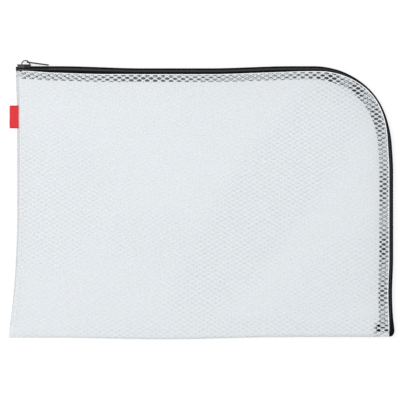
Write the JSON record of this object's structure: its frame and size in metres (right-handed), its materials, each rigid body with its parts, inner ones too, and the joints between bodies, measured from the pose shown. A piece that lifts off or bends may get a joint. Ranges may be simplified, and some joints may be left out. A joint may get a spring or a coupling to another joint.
{
  "type": "document wallet",
  "caption": "Flat translucent vinyl document wallet with a net inside the sheet, a black coil zip along the top and one side, a sliding zip pull and a small cloth side label.",
  "frame": {"origin": "middle of the back panel's underside, between the left seam, the bottom fold and the zip's outer faces", "axes": "+X along the zip's top run to the right, +Y up the front towards the top run, +Z out of the front"},
  "size_m": [0.3449, 0.2474, 0.0092],
  "materials": {
    "mesh_vinyl": "translucent frosted vinyl with a white net inside",
    "zip_tape": "black woven zip tape",
    "zip_coil": "black nylon coil",
    "zip_metal": "black enamel on cast metal",
    "label_cloth": "red woven ribbon"
  },
  "bodies": {
    "base": {"back_panel": "mesh_vinyl", "bottom_fold": "mesh_vinyl", "front_panel": "mesh_vinyl", "left_seam_back": "mesh_vinyl", "left_seam_front": "mesh_vinyl", "back_tape_top": "zip_tape", "back_tape_corner": "zip_tape", "back_tape_side": "zip_tape", "front_tape_start": "zip_tape", "front_tape_end": "zip_tape", "zip_end_tab": "zip_tape", "back_coil_mouth": "zip_coil", "back_coil_top": "zip_coil", "back_coil_corner": "zip_coil", "back_coil_side": "zip_coil", "front_coil_mouth": "zip_coil", "front_coil_start": "zip_coil", "start_stops": "zip_metal", "side_label": "label_cloth"},
    "flap": {"front_flap": "mesh_vinyl", "front_tape_top": "zip_tape", "front_tape_corner": "zip_tape", "front_tape_side": "zip_tape", "front_coil_top": "zip_coil", "front_coil_corner": "zip_coil", "front_coil_side": "zip_coil"},
    "slider": {"slider_body": "zip_metal"},
    "pull": {"pull_tab": "zip_metal"}
  },
  "joints": [
    {"name": "flap_lift", "type": "hinge", "parent": "base", "child": "flap", "pos_m": [-0.1382, 0.121, 0.0092], "axis": [0.8006, -0.5992, 0], "range_deg": [0, 150], "deforming": ["front_coil_side"]},
    {"name": "slider_run", "type": "slide", "parent": "base", "child": "slider", "axis": [1, 0, 0], "range_m": [0, 0.25], "deforming": ["back_coil_mouth", "back_coil_top", "front_coil_mouth", "front_coil_start", "front_coil_top"]},
    {"name": "pull_swing", "type": "hinge", "parent": "slider", "child": "pull", "pos_m": [-0.15865, 0.12444, 0.0046], "axis": [0, 0, 1], "range_deg": [0, 150]}
  ]
}
